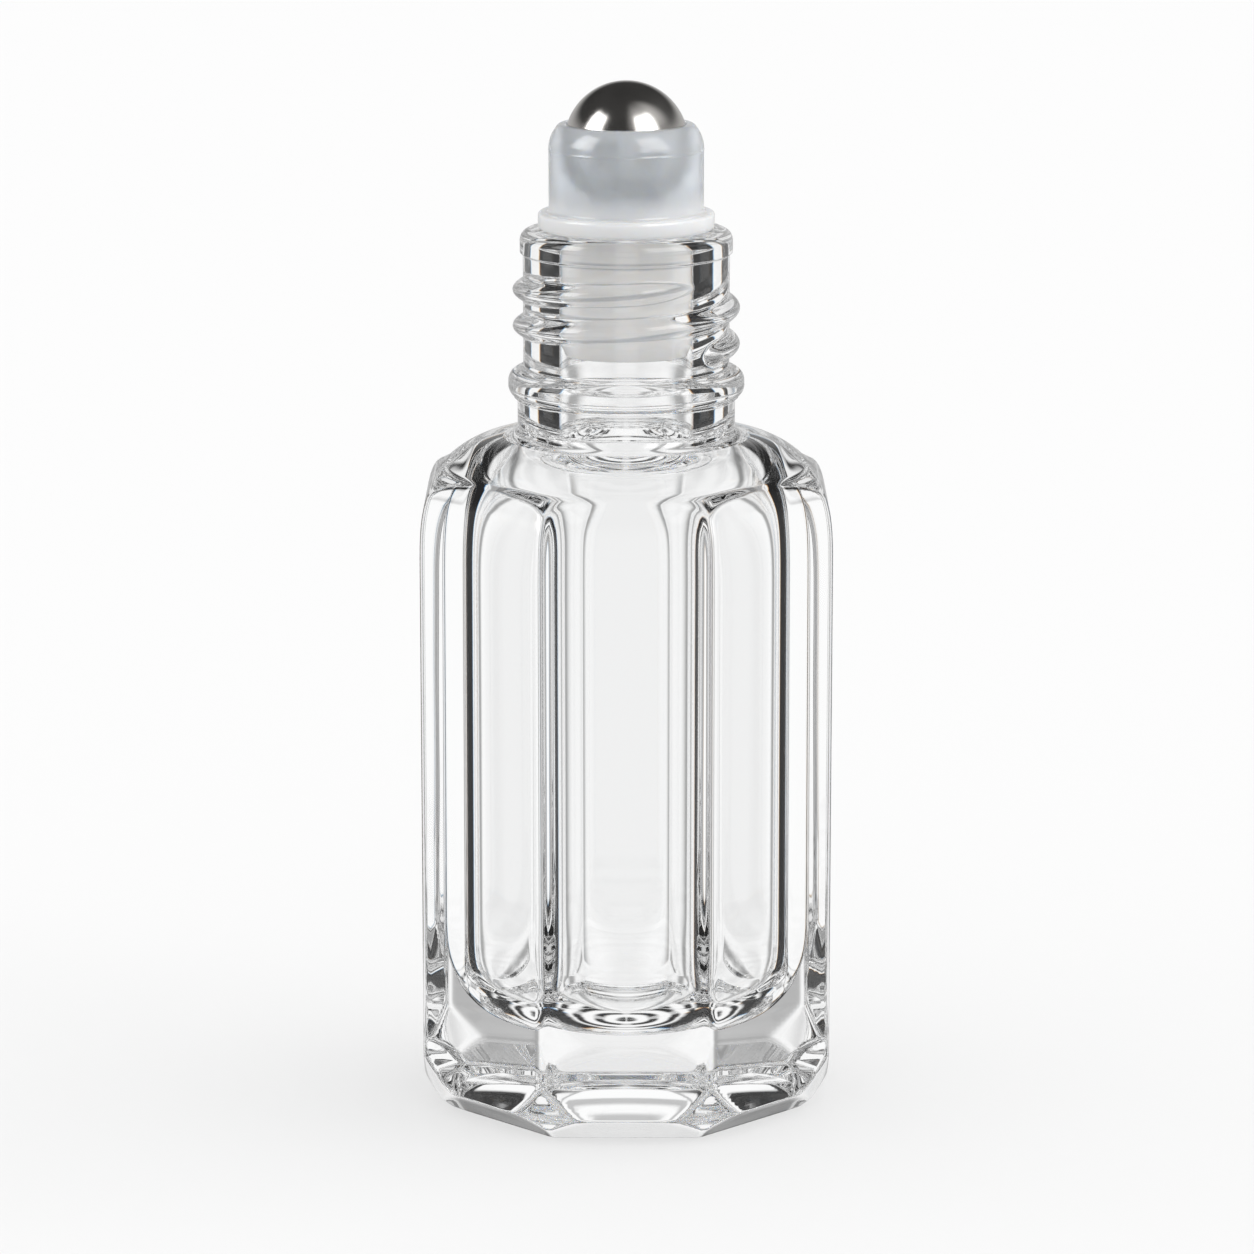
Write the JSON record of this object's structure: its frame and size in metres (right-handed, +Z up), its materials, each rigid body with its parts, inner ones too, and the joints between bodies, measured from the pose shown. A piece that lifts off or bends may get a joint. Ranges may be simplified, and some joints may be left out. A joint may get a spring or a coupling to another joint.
{
  "type": "roll on bottle",
  "caption": "Octagonal clear glass roll on bottle with a screw neck, a translucent roller housing plugged into the neck and a steel ball.",
  "frame": {"origin": "centre of the foot, on the surface that the bottle stands on", "axes": "+Z up along the bottle's axis, -Y out of the front flat of the body"},
  "size_m": [0.0266, 0.0266, 0.0671],
  "materials": {
    "glass": "clear, fire-polished",
    "housing": "translucent natural polyethylene, satin",
    "ball": "polished stainless steel"
  },
  "bodies": {
    "bottle": {"glass_bottle": "glass"},
    "fitment": {"roller_housing": "housing"},
    "ball": {"roller_ball": "ball"}
  },
  "joints": [
    {"name": "fitment_pull", "type": "slide", "parent": "bottle", "child": "fitment", "axis": [0, 0, 1], "range_m": [0, 0.012]},
    {"name": "ball_roll", "type": "hinge", "parent": "fitment", "child": "ball", "pos_m": [0, 0, 0.0631], "axis": [1, 0, 0], "continuous": true}
  ]
}
